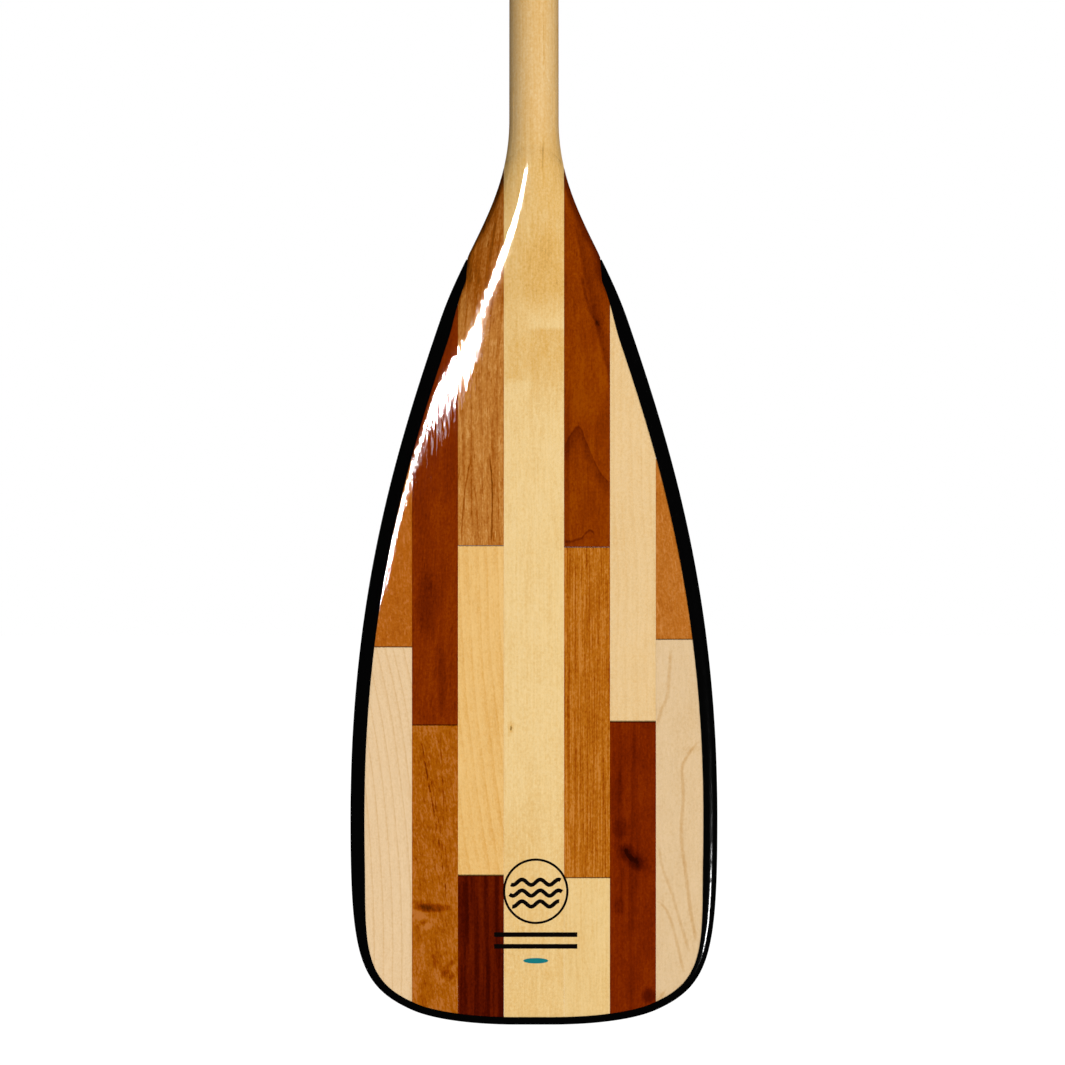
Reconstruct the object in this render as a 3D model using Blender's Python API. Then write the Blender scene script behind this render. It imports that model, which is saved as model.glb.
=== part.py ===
"""A laminated wooden bent-shaft canoe paddle, standing on the tip of its blade.

Axes: +Z runs up the blade, +X across it, and the shaft leans towards +Y.
Origin: the middle of the small flat land at the very tip of the blade.

Every shape is worked out in the paddle's own straightened space, in millimetres:
    x      distance across from the centreline
    depth  distance through the thickness, minus towards the front face
    along  distance up the centreline from the tip
place() then bends that space at the throat and turns it into metres.
"""

import math

import bmesh
import bpy
import numpy as np

METRE = 0.001

# --- driving dimensions, in millimetres -------------------------------------------------------
LENGTH = 1321.0              # 52 inches, up the centreline
BLADE_WIDTH = 203.2          # 8 inches
SHAFT_WIDTH = 27.4
SHAFT_DEPTH = 31.75          # five layers of a quarter of an inch
LAYER = SHAFT_DEPTH / 5
GLUE_GAP = 0.3               # clearance between neighbouring pieces

BEND = math.radians(11.0)
BEND_MIDDLE = 487.0          # where the two straight runs of the centreline would meet
BEND_RADIUS = 400.0

STAVE_LINES = (16.65, 42.05, 67.45)      # glue lines between the columns of staves

BLADE_DEPTH = 8.2            # wood only, through the flat middle of the blade
EDGE_DEPTH = 3.9             # wood only, where it meets the edge guard
SKIN_DEPTH = 0.35            # the clear laminate on each face
FINISHED = SKIN_DEPTH + GLUE_GAP         # from the wood to the outside of a skin

GUARD_SIDE = 7.8             # width of the edge guard down the blade's sides
GUARD_TIP = 4.2              # and round its tip
GUARD_TOP = 425.0            # where the guard has run out to nothing
GUARD_NOSE = 2.0             # flat left on the guard's outer edge
TIP_LAND = 20.0              # length of the straight piece of edge at the tip

FLAT_HALF = 16.95            # half-width of the truly flat band down each face
FLAT_FROM = 66.0
FLAT_TO = 240.0

GRIP_HALF_WIDTH = 46.0
GRIP_DEPTH = 28.0
GRIP_START = 1238.0          # where the shaft starts to widen
GRIP_WIDEST = 1299.0

THINNEST = 0.4               # half thickness left where a face runs out to an edge

# Beside the flat band the blade's section is a low arch; up the throat it rounds into an ellipse.
BLADE_ROUNDNESS = 1.0        # 1 leaves a sloping shoulder at the edge, a half makes a true ellipse
THROAT_ROUNDNESS = 0.5
ROUNDNESS_CHANGES = (340.0, 460.0)
FLAT_ENDS = (FLAT_TO, 400.0)             # the flat band narrows to nothing between these
EDGE_ENDS = (400.0, 470.0)               # the square edge of the wood rounds off between these
TIP_TAPER = 60.0             # the blade thins over this distance above its lower edge
RIDGE_END = 520.0            # the ridge up the throat has reached the depth of the shaft here

X_AXIS = np.array([1.0, 0.0])
UPWARD = np.array([0.0, 1.0])


# --- curves --------------------------------------------------------------------------------------
def smooth(value, start, end):
    """0 before start, 1 after end, with a soft step between them."""
    t = np.clip((np.asarray(value, dtype=float) - start) / (end - start), 0.0, 1.0)
    return t * t * (3.0 - 2.0 * t)


def bezier(start, leave, arrive, end, steps):
    """Points down a cubic curve, and its direction at each; leave and arrive are the two handles."""
    corners = [np.array(start), np.array(start) + leave, np.array(end) - arrive, np.array(end)]
    t = np.linspace(0.0, 1.0, steps + 1)[:, None]
    u = 1.0 - t
    points = (u ** 3 * corners[0] + 3 * u * u * t * corners[1]
              + 3 * u * t * t * corners[2] + t ** 3 * corners[3])
    along = (u * u * (corners[1] - corners[0]) + 2 * u * t * (corners[2] - corners[1])
             + t * t * (corners[3] - corners[2]))
    return points, along / np.linalg.norm(along, axis=1)[:, None]


def heading(degrees):
    return np.array([math.cos(math.radians(degrees)), math.sin(math.radians(degrees))])


def blade_outline(steps):
    """Right-hand edge of the blade from the tip land to the throat, steps pieces to each curve."""
    land = (TIP_LAND / 2, 0.0)
    shoulder = (67.5, 8.1)
    widest = (BLADE_WIDTH / 2, 114.4)
    waist = (52.0, 389.7)
    throat = (SHAFT_WIDTH / 2, 501.0)
    curves = (
        bezier(land, 19.0 * X_AXIS, 15.1 * heading(23.9), shoulder, steps[0]),
        bezier(shoulder, 32.8 * heading(23.9), 75.0 * UPWARD, widest, steps[1]),
        bezier(widest, 121.4 * UPWARD, 77.0 * heading(108.9), waist, steps[2]),
        bezier(waist, 44.0 * heading(108.9), 45.0 * UPWARD, throat, steps[3]),
    )
    points = [curves[0][0]]
    directions = [curves[0][1]]
    for curve_points, curve_directions in curves[1:]:
        points.append(curve_points[1:])
        directions.append(curve_directions[1:])
    return np.vstack(points), np.vstack(directions)


def grip_outline(steps):
    """Right-hand edge of the grip, from the shaft over the widest place to the middle of the top."""
    neck = (SHAFT_WIDTH / 2, GRIP_START)
    widest = (GRIP_HALF_WIDTH, GRIP_WIDEST)
    top = (0.0, LENGTH)
    flare, _ = bezier(neck, 34.0 * UPWARD, 22.0 * UPWARD, widest, steps)
    crown, _ = bezier(widest, 13.0 * UPWARD, -30.0 * X_AXIS, top, steps)
    return flare, crown


def guard_width(along):
    """Width of the edge guard, square to the edge, at a height on the edge."""
    widening = smooth(along, 10.0, 90.0)
    run_out_start = 300.0
    run_out = np.clip((along - run_out_start) / (GUARD_TOP - run_out_start), 0.0, 1.0) ** 6
    return (GUARD_TIP + (GUARD_SIDE - GUARD_TIP) * widening) * (1.0 - run_out)


def inset(points, directions, clearance):
    """The line where guard and wood meet, moved towards the wood by clearance."""
    inward = np.column_stack([-directions[:, 1], directions[:, 0]])
    width = guard_width(points[:, 1]) + clearance
    return points + width[:, None] * inward


# --- outlines used everywhere ---------------------------------------------------------------------
COARSE = (4, 9, 13, 12)      # pieces to each curve of the blade's outline
FINE = (60, 60, 60, 60)

EDGE, EDGE_WAY = blade_outline(COARSE)
FINE_EDGE, FINE_WAY = blade_outline(FINE)
FLARE, CROWN = grip_outline(40)


def wood_line(points, directions):
    """Outer edge of the wood: inside the guard while there is one, the true edge above it."""
    guarded = points[:, 1] < GUARD_TOP
    return np.vstack([inset(points[guarded], directions[guarded], GLUE_GAP / 2), points[~guarded]])


WOOD_EDGE = wood_line(EDGE, EDGE_WAY)
FINE_WOOD = wood_line(FINE_EDGE, FINE_WAY)
WIDEST = int(np.argmax(FINE_WOOD[:, 0]))
WOOD_LOWEST = FINE_WOOD[0, 1]

WIDTH_LINE = np.vstack([FINE_WOOD, FLARE, CROWN[1:]])


def half_width(along):
    """Half-width of the wood at a height."""
    return np.interp(along, WIDTH_LINE[:, 1], WIDTH_LINE[:, 0])


def wood_bottom(x):
    """Height of the wood's lower edge, at a distance from the centreline."""
    return np.interp(np.abs(x), FINE_WOOD[:WIDEST, 0], FINE_WOOD[:WIDEST, 1])


def wood_top(x):
    """Height of the wood's upper edge, where the blade narrows towards the throat."""
    return np.interp(-np.abs(x), -FINE_WOOD[WIDEST:, 0], FINE_WOOD[WIDEST:, 1])


# --- thickness ------------------------------------------------------------------------------------
RIDGE, _ = bezier((FLAT_TO, BLADE_DEPTH / 2), 70.0 * X_AXIS,
                  45.0 * X_AXIS, (RIDGE_END, SHAFT_DEPTH / 2), 60)


def ridge_depth(along):
    """Half thickness of the wood on the centreline."""
    rising = np.interp(along, RIDGE[:, 0], RIDGE[:, 1])
    grip = (SHAFT_DEPTH - GRIP_DEPTH) / 2 * smooth(along, GRIP_START, GRIP_WIDEST)
    cap = np.clip((along - GRIP_WIDEST) / (LENGTH - GRIP_WIDEST), 0.0, 1.0)
    return (rising - grip) * np.sqrt(1.0 - cap ** 2)


def edge_depth(along):
    """Half thickness of the wood at its outer edge."""
    return EDGE_DEPTH / 2 * (1.0 - smooth(along, *EDGE_ENDS))


def half_depth(x, along):
    """Half thickness of the wood anywhere.

    The blade is flat in the middle and arches down towards the guard; up the throat the
    section turns into an ellipse, which is also the section of the shaft and the grip.
    """
    x = np.abs(x)
    width = half_width(along)
    edge = edge_depth(along)
    flat = np.minimum(FLAT_HALF * (1.0 - smooth(along, *FLAT_ENDS)), width / 2)
    across = np.clip((x - flat) / (width - flat), 0.0, 1.0)
    change = THROAT_ROUNDNESS - BLADE_ROUNDNESS
    roundness = BLADE_ROUNDNESS + change * smooth(along, *ROUNDNESS_CHANGES)
    crown = (1.0 - across ** 2) ** roundness
    rise_from_tip = smooth(along - wood_bottom(x), 0.0, TIP_TAPER)
    depth = edge + (ridge_depth(along) - edge) * crown * rise_from_tip
    return np.maximum(depth, THINNEST)


# --- from straightened space to the real one --------------------------------------------------------
BEND_START = BEND_MIDDLE - BEND_RADIUS * math.tan(BEND / 2)
BEND_END = BEND_START + BEND_RADIUS * BEND


def place(x, depth, along):
    """World coordinates in metres of points given in straightened space."""
    turned = np.clip(along - BEND_START, 0.0, BEND_END - BEND_START) / BEND_RADIUS
    past = np.maximum(along - BEND_END, 0.0)
    before = np.minimum(along, BEND_START)
    sine = np.sin(turned)
    cosine = np.cos(turned)
    y = BEND_RADIUS * (1.0 - cosine) + past * sine + depth * cosine
    z = before + BEND_RADIUS * sine + past * cosine - depth * sine
    return np.stack(np.broadcast_arrays(x, y, z), axis=-1) * METRE


# --- building blocks --------------------------------------------------------------------------------
def finish(name, vertices, faces, material, sharp_degrees=38.0):
    """Make one closed object out of vertices and faces."""
    mesh = bpy.data.meshes.new(name)
    mesh.from_pydata([tuple(v) for v in vertices], [], faces)
    shape = bmesh.new()
    shape.from_mesh(mesh)
    bmesh.ops.recalc_face_normals(shape, faces=shape.faces)
    shape.to_mesh(mesh)
    shape.free()
    mesh.shade_smooth()
    mesh.set_sharp_from_angle(angle=math.radians(sharp_degrees))
    mesh.materials.append(material)
    piece = bpy.data.objects.new(name, mesh)
    bpy.context.scene.collection.objects.link(piece)
    return piece


def slab(name, x, along, low, high, material):
    """A closed piece between two surfaces over the same grid of (x, along)."""
    rows, columns = x.shape
    front = place(x, low, along).reshape(-1, 3)
    back = place(x, high, along).reshape(-1, 3)
    count = rows * columns

    def index(row, column):
        return row * columns + column

    faces = []
    for row in range(rows - 1):
        for column in range(columns - 1):
            a = index(row, column)
            b = index(row, column + 1)
            c = index(row + 1, column + 1)
            d = index(row + 1, column)
            faces.append((a, b, c, d))
            faces.append((d + count, c + count, b + count, a + count))
    border = [index(0, column) for column in range(columns)]
    border += [index(row, columns - 1) for row in range(1, rows)]
    border += [index(rows - 1, column) for column in range(columns - 2, -1, -1)]
    border += [index(row, 0) for row in range(rows - 2, 0, -1)]
    for a, b in zip(border, border[1:] + border[:1]):
        faces.append((b, a, a + count, b + count))
    return finish(name, np.vstack([front, back]), faces, material)


def wood_slab(name, x, along, material):
    """A stave or a cheek: its two faces are the two faces of the wood."""
    depth = half_depth(x, along)
    return slab(name, x, along, -depth, depth, material)


def make_material(name, colour, roughness, metallic=0.0, alpha=1.0):
    made = bpy.data.materials.new(name)
    made.use_nodes = True
    shader = made.node_tree.nodes["Principled BSDF"]
    shader.inputs["Base Color"].default_value = (*colour, 1.0)
    shader.inputs["Roughness"].default_value = roughness
    shader.inputs["Metallic"].default_value = metallic
    shader.inputs["Alpha"].default_value = alpha
    return made


# --- staves -----------------------------------------------------------------------------------------
def between(values, low, high, margin=1.5):
    """low, the values that lie inside, and high, in order."""
    inside = [v for v in values if low + margin < v < high - margin]
    return np.array([low] + sorted(inside) + [high])


def upright_stave(name, side, column, low, high, rows, material):
    """A stave whose long edges are both straight: low or high is None where it ends on the outline."""
    left = STAVE_LINES[column] + GLUE_GAP / 2
    right = STAVE_LINES[column + 1] - GLUE_GAP / 2
    outline_x = np.array([])
    if low is None:
        outline_x = WOOD_EDGE[WOOD_EDGE[:, 1] < 100.0, 0]
    if high is None:
        outline_x = WOOD_EDGE[WOOD_EDGE[:, 1] > 250.0, 0]
    if not outline_x.size:
        outline_x = np.linspace(left, right, 4)
    lines = between(outline_x, left, right)
    start = wood_bottom(lines) if low is None else np.full(lines.shape, low + GLUE_GAP / 2)
    end = wood_top(lines) if high is None else np.full(lines.shape, high - GLUE_GAP / 2)
    fraction = np.linspace(0.0, 1.0, rows + 1)
    if high is None:
        fraction = np.sin(fraction * math.pi / 2)
    along = start + (end - start) * fraction[:, None]
    x = np.broadcast_to(side * lines, along.shape)
    return wood_slab(name, x, along, material)


def outer_stave(name, side, low, high, material):
    """A stave of the outermost column: one straight edge, and one edge that is the blade's outline."""
    left = STAVE_LINES[2] + GLUE_GAP / 2
    blunt = left + 0.8
    start = wood_bottom(blunt) if low is None else low + GLUE_GAP / 2
    end = wood_top(blunt) if high is None else high - GLUE_GAP / 2
    rows = between(WOOD_EDGE[:, 1], float(start), float(end))
    reach = half_width(rows)
    fraction = np.array([0.0, 0.4, 0.7, 0.88, 1.0])
    x = left + (reach - left)[:, None] * fraction
    along = np.broadcast_to(rows[:, None], x.shape)
    return wood_slab(name, side * x, along, material)


# --- shaft layers -----------------------------------------------------------------------------------
LAYER_STATIONS = np.concatenate([
    [12.0, 24.0, 40.0, FLAT_FROM, FLAT_TO],
    np.linspace(FLAT_TO, BEND_START, 10)[1:],
    np.linspace(BEND_START, BEND_END, 9)[1:],
    np.linspace(GRIP_START, GRIP_WIDEST, 6),
    GRIP_WIDEST + (LENGTH - GRIP_WIDEST) * np.sin(np.linspace(0.0, 0.9, 7) * math.pi / 2)[1:],
])
SIDE_FLAT = 0.995            # the layers' sides stop at this part of the oval's half-width
FEATHER = 0.3                # a layer stops where it has thinned to this
TOP_CLEARANCE = 0.15         # the layers stop this far short of the very top of the grip


def column_half_width(along):
    """Half-width of the middle column: the stave lines in the blade, the shaft's width above."""
    limit = STAVE_LINES[0] if along < LENGTH / 2 else SHAFT_WIDTH / 2
    return min(limit - GLUE_GAP / 2, float(half_width(along)) * SIDE_FLAT)


def chord(floor, along):
    """Half-width over which the wood is deeper than floor, inside the middle column."""
    x = np.linspace(0.0, column_half_width(along), 200)
    deep = half_depth(x, np.full(x.shape, along)) >= floor
    return float(x[deep][-1])


def shaft_layer(name, level, material):
    """One board of the shaft. level counts boards from the middle one, minus towards the front."""
    floor = max(abs(level) - 0.5, 0.0) * LAYER + GLUE_GAP / 2
    ceiling = (abs(level) + 0.5) * LAYER - GLUE_GAP / 2
    shallowest = floor + FEATHER if level else THINNEST
    climb = np.linspace(WOOD_LOWEST, LENGTH - TOP_CLEARANCE, 4000)
    deep = climb[half_depth(np.zeros(climb.shape), climb) >= shallowest]
    stations = between(LAYER_STATIONS, float(deep[0]), float(deep[-1]), margin=1.0)
    reach = np.array([chord(shallowest, station) for station in stations])
    fraction = np.sin(np.linspace(-1.0, 1.0, 9) * math.pi / 2)
    x = reach[:, None] * fraction
    along = np.maximum(stations[:, None], wood_bottom(x))
    top = np.minimum(half_depth(x, along), ceiling)
    bottom = np.full(x.shape, floor) if level else -top
    if level < 0:
        return slab(name, x, along, -top, -bottom, material)
    return slab(name, x, along, bottom, top, material)


# --- edge guard -------------------------------------------------------------------------------------
GUARD_ACROSS = (0.0, 0.4, 0.7, 0.9, 1.0)     # from the wood out to the nose
GUARD_POWER = 2.4            # a little squarer than an ellipse
GUARD_BLUNT = 3.0            # the wedge is cut off this far below where it would run out


def edge_guard(name, material):
    """The moulded rim: a band with a rounded nose, following the outline from throat to throat."""
    guarded = EDGE[:, 1] < GUARD_TOP - GUARD_BLUNT
    outer = EDGE[guarded]
    inner = inset(outer, EDGE_WAY[guarded], -GLUE_GAP / 2)
    mirror = np.array([-1.0, 1.0])
    outer = np.vstack([outer[::-1] * mirror, outer])
    inner = np.vstack([inner[::-1] * mirror, inner])
    root = edge_depth(inner[:, 1:]) + FINISHED
    nose = GUARD_NOSE / 2
    across = np.array(GUARD_ACROSS)
    thick = nose + (root - nose) * np.sqrt(1.0 - across ** GUARD_POWER)
    across = np.concatenate([across, across[::-1]])
    depth = np.hstack([-thick, thick[:, ::-1]])
    section = inner[:, None, :] + (outer - inner)[:, None, :] * across[None, :, None]
    points = place(section[..., 0], depth, section[..., 1])
    stations, around = points.shape[:2]
    faces = []
    for station in range(stations - 1):
        for corner in range(around):
            following = (corner + 1) % around
            a = station * around
            b = a + around
            faces.append((a + corner, b + corner, b + following, a + following))
    last = (stations - 1) * around
    faces.append(tuple(range(around)))
    faces.append(tuple(range(last + around - 1, last - 1, -1)))
    return finish(name, points.reshape(-1, 3), faces, material)


# --- blade skins ------------------------------------------------------------------------------------
SKIN_TOP = 477.0             # at the sides; the upper edge arches above this
SKIN_ARCH = 8.0
SKIN_PULL_IN = 0.07          # how far the skin keeps from the edge of the throat, of the half-width
SKIN_PULL_ENDS = (GUARD_TOP - 60.0, GUARD_TOP)


def blade_skin(name, side, material):
    """A clear laminate over one face; side is -1 for the front and 1 for the back."""
    rows = WOOD_EDGE[(WOOD_EDGE[:, 0] > 60.0) | (WOOD_EDGE[:, 1] > 60.0)]
    rows = rows[rows[:, 1] < SKIN_TOP - 4.0]
    rows = np.vstack([rows, [half_width(SKIN_TOP), SKIN_TOP]])
    height = rows[:, 1:]
    reach = rows[:, :1] * (1.0 - SKIN_PULL_IN * smooth(height, *SKIN_PULL_ENDS))
    flat = np.minimum(FLAT_HALF, reach / 2)
    band = np.array([-1.0, -0.5, 0.0, 0.5, 1.0])
    wing = np.sin(np.linspace(0.0, 1.0, 8)[1:] * math.pi / 2)
    x = np.hstack([
        -(flat + (reach - flat) * wing[::-1]),
        flat * band,
        flat + (reach - flat) * wing,
    ])
    across = x / reach
    sag = height[0] - wood_bottom(across * reach[0])
    arch = SKIN_ARCH * (1.0 - across ** 2) * smooth(height, GUARD_TOP, SKIN_TOP)
    along = height - sag * (1.0 - smooth(height, height[0], FLAT_FROM + 30.0)) + arch
    depth = half_depth(x, along)
    near = side * (depth + GLUE_GAP)
    far = side * (depth + FINISHED)
    if side < 0:
        return slab(name, x, along, far, near, material)
    return slab(name, x, along, near, far, material)


# --- grip -------------------------------------------------------------------------------------------
def grip_cheek(name, side, material):
    """The block glued to one side of the shaft at the top, rounded into a palm grip."""
    lines = np.array([SHAFT_WIDTH / 2 + GLUE_GAP / 2, 17.0, 22.0, 28.0, 34.0, 39.0, 43.0, 45.2])
    start = np.interp(lines, FLARE[:, 0], FLARE[:, 1])
    end = np.interp(-lines, -CROWN[:, 0], CROWN[:, 1])
    fraction = (1.0 - np.cos(np.linspace(0.0, 1.0, 11) * math.pi)) / 2
    along = start + (end - start) * fraction[:, None]
    x = np.broadcast_to(side * lines, along.shape)
    return wood_slab(name, x, along, material)


# --- the paddle -------------------------------------------------------------------------------------
LEFT = -1
RIGHT = 1
INNER_COLUMN = 0
MIDDLE_COLUMN = 1


def build():
    for old in list(bpy.data.objects):
        bpy.data.objects.remove(old, do_unlink=True)

    basswood = make_material("basswood", (0.72, 0.47, 0.20), 0.40)
    alder = make_material("red_alder", (0.42, 0.16, 0.02), 0.35)
    roasted = make_material("roasted_basswood", (0.19, 0.025, 0.003), 0.35)
    maple = make_material("maple", (0.76, 0.54, 0.29), 0.35)
    resin = make_material("black_resin", (0.004, 0.004, 0.004), 0.15)
    laminate = make_material("clear_laminate", (0.95, 0.95, 0.95), 0.05, alpha=0.2)

    upright_stave("stave_left_inner_lower", LEFT, INNER_COLUMN, None, 82.8, 4, roasted)
    upright_stave("stave_left_inner_middle", LEFT, INNER_COLUMN, 82.8, 265.1, 5, basswood)
    upright_stave("stave_left_inner_upper", LEFT, INNER_COLUMN, 265.1, None, 14, alder)
    upright_stave("stave_left_middle_lower", LEFT, MIDDLE_COLUMN, None, 165.9, 6, alder)
    upright_stave("stave_left_middle_upper", LEFT, MIDDLE_COLUMN, 165.9, None, 10, roasted)
    outer_stave("stave_left_outer_lower", LEFT, None, 209.1, maple)
    outer_stave("stave_left_outer_upper", LEFT, 209.1, None, alder)

    upright_stave("stave_right_inner_lower", RIGHT, INNER_COLUMN, None, 81.5, 4, basswood)
    upright_stave("stave_right_inner_middle", RIGHT, INNER_COLUMN, 81.5, 264.3, 5, alder)
    upright_stave("stave_right_inner_upper", RIGHT, INNER_COLUMN, 264.3, None, 14, roasted)
    upright_stave("stave_right_middle_lower", RIGHT, MIDDLE_COLUMN, None, 167.8, 6, roasted)
    upright_stave("stave_right_middle_upper", RIGHT, MIDDLE_COLUMN, 167.8, None, 10, basswood)
    outer_stave("stave_right_outer_lower", RIGHT, None, 213.3, maple)
    outer_stave("stave_right_outer_upper", RIGHT, 213.3, None, alder)

    shaft_layer("shaft_layer_front_outer", -2, basswood)
    shaft_layer("shaft_layer_front_inner", -1, basswood)
    shaft_layer("shaft_layer_core", 0, basswood)
    shaft_layer("shaft_layer_back_inner", 1, basswood)
    shaft_layer("shaft_layer_back_outer", 2, basswood)

    edge_guard("edge_guard", resin)
    blade_skin("blade_skin_front", -1, laminate)
    blade_skin("blade_skin_back", 1, laminate)
    grip_cheek("grip_cheek_left", LEFT, alder)
    grip_cheek("grip_cheek_right", RIGHT, alder)


build()
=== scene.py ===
"""The looks of a laminated wooden bent-shaft paddle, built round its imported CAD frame.

Shapes are worked out in the paddle's own straightened space, in millimetres:
    x      distance across from the centreline
    depth  distance through the thickness, minus towards the front face
    along  distance up the centreline from the tip
place() bends that space at the throat and turns it into metres. Every piece of wood keeps its
straightened coordinates in a mesh attribute, so that its grain follows the bend of the shaft.
"""

import math
from collections import namedtuple

import bmesh
import bpy
import numpy as np
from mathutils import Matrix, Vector


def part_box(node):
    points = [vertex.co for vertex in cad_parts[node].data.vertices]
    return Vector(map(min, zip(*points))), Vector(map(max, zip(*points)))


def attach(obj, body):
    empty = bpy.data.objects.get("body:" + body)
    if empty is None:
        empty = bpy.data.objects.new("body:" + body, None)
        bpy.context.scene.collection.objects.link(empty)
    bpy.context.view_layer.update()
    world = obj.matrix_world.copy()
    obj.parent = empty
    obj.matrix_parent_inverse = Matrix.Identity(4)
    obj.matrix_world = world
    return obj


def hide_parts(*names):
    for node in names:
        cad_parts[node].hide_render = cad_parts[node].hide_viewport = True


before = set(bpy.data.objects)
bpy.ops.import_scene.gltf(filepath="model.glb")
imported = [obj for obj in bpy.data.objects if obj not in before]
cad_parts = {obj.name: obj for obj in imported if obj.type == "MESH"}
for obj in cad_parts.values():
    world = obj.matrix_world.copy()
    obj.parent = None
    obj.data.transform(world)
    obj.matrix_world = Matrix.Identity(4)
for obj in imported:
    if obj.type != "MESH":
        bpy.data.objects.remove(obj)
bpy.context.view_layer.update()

METRE = 0.001
BODY = "root"
ACROSS, THROUGH, UP = 0, 1, 2
SIDES = {"left": -1, "right": 1}
COLUMNS = {"inner": ("lower", "middle", "upper"), "middle": ("lower", "upper"), "outer": ("lower", "upper")}


# === sizes, in millimetres ===
def span(node, axis):
    """Lowest and highest coordinate of a CAD node on one axis."""
    low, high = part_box(node)
    return low[axis] / METRE, high[axis] / METRE


def seam(lower_node, upper_node, axis):
    """Where two neighbouring CAD nodes meet: the middle of the gap between them."""
    return (span(lower_node, axis)[1] + span(upper_node, axis)[0]) / 2


def column_joints(side, column):
    """Heights of the glued ends in one column of staves, from the bottom up."""
    nodes = [f"stave_{side}_{column}_{part}" for part in COLUMNS[column]]
    return [seam(lower, upper, UP) for lower, upper in zip(nodes, nodes[1:])]


CAD_GAP = 0.3  # the CAD solids' clearance
HALF_BLADE = span("edge_guard", ACROSS)[1]
STAVE_LINES = (
    span("stave_right_inner_middle", ACROSS)[0] - CAD_GAP / 2,
    seam("stave_right_inner_middle", "stave_right_middle_lower", ACROSS),
    seam("stave_right_middle_lower", "stave_right_outer_lower", ACROSS),
)
JOINTS = {(side, column): column_joints(side, column) for side in SIDES for column in COLUMNS}
HALF_SHAFT_WIDTH = span("grip_cheek_right", ACROSS)[0] - CAD_GAP / 2
GRIP_HALF_WIDTH = 46
HALF_SHAFT_DEPTH = 15.875
LAYER = HALF_SHAFT_DEPTH * 2 / 5
LENGTH = 1321  # up the centreline

BEND = math.radians(11)
BEND_MIDDLE = 487
BEND_RADIUS = 400
BEND_START = BEND_MIDDLE - BEND_RADIUS * math.tan(BEND / 2)
BEND_END = BEND_START + BEND_RADIUS * BEND

SKIN_OUT = 0.65  # from the wood to the outside of a clear skin
SKIN_NEAR = 0.08  # and to its inside
SKIN_TOP = 477  # at the sides; the upper edge arches above this
SKIN_ARCH = 8
SKIN_PULL_IN = 0.07  # how far the skin keeps from the edge of the throat, of the half-width
SKIN_FADE = 60  # and how far below the guard's ends it starts to do so
SKIN_FIRST_ROW = 60  # half-width of the tip where the lowest row of a skin's mesh ends
SKIN_STRAIGHT = 96  # height from which the rows of its mesh are straight
HALF_BLADE_DEPTH = span("stave_right_inner_lower", THROUGH)[1]
HALF_GUARD_DEPTH = span("edge_guard", THROUGH)[1]
HALF_EDGE_DEPTH = HALF_GUARD_DEPTH - SKIN_OUT

TIP_LAND = 20  # width of the straight bit at the tip
GUARD_SIDE = 7.8  # width of the edge guard down the blade's sides
GUARD_TIP = 4.2  # and round its tip
GUARD_GROWS = 10, 90  # heights between which it goes from one to the other
GUARD_TOP = 425  # where the guard has run out to nothing
GUARD_NOSE = 2  # flat left on the guard's outer edge
GUARD_ROUND = 2.4  # power of the curve from its faces to that flat: more is squarer
GUARD_END = 380, 416  # towards its upper ends the guard gets narrower,
GUARD_END_LOSS = 0.36  # by this part of its width,
GUARD_END_SLOPE = 0.46  # and then runs out by this much for each mm further up

TIP_RISE = 60  # from the tip's edge to the blade's full thickness
FLAT_HALF = 16.95  # half-width of the flat down the middle of the blade
FLAT_TO = 240  # the blade starts to thicken here, and the flat narrows to nothing at THROAT
RIDGE_END = 520  # where it has thickened into the shaft
THROAT = 400
EDGE_GONE = 470  # where the wood's edge has no thickness left
OVAL = 340, 460  # the crown of the blade turns into the oval of the shaft
CARVED_BLEND = 300  # near the guard's ends the crown is carved to a line of its own, which is
CARVED = 370, 475  # inside the outline at the first of these heights, and on it at the second,
CARVED_INSIDE = 1.06  # by this many widths of the guard
GRIP_DEPTH = 28
GRIP_START = 1238
GRIP_WIDEST = 1299

GAP = 0.06  # left between neighbouring pieces of wood
THINNEST = 0.15  # half thickness that the wood's thinnest edge keeps
LIP_DEPTH = 0.18  # the blade's sides are sanded down a little along the guard
LIP_WIDTH = 2
LIP_START = 212, 245
LIP_END = 350, 380
BARE_ROUNDING = 3.5  # the wood's edge is rounded over where no guard covers it


# === curves ===
def smooth(value, start, end):
    """0 before start, 1 after end, with a soft step between them."""
    t = np.clip((np.asarray(value, dtype=float) - start) / (end - start), 0, 1)
    return t * t * (3 - 2 * t)


def bezier(start, leave, arrive, end, steps):
    """Points down a cubic curve, and its direction at each; leave and arrive are the two handles."""
    corners = np.array([start, start + leave, end - arrive, end])
    t = np.linspace(0, 1, steps + 1)[:, None]
    u = 1 - t
    points = np.hstack([u ** 3, 3 * u * u * t, 3 * u * t * t, t ** 3]) @ corners
    ways = np.hstack([u * u, 2 * u * t, t * t]) @ np.diff(corners, axis=0)
    return points, ways / np.linalg.norm(ways, axis=1)[:, None]


def heading(degrees):
    return np.array([math.cos(math.radians(degrees)), math.sin(math.radians(degrees))])


SIDEWAYS = heading(0)
UPWARD = heading(90)


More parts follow.
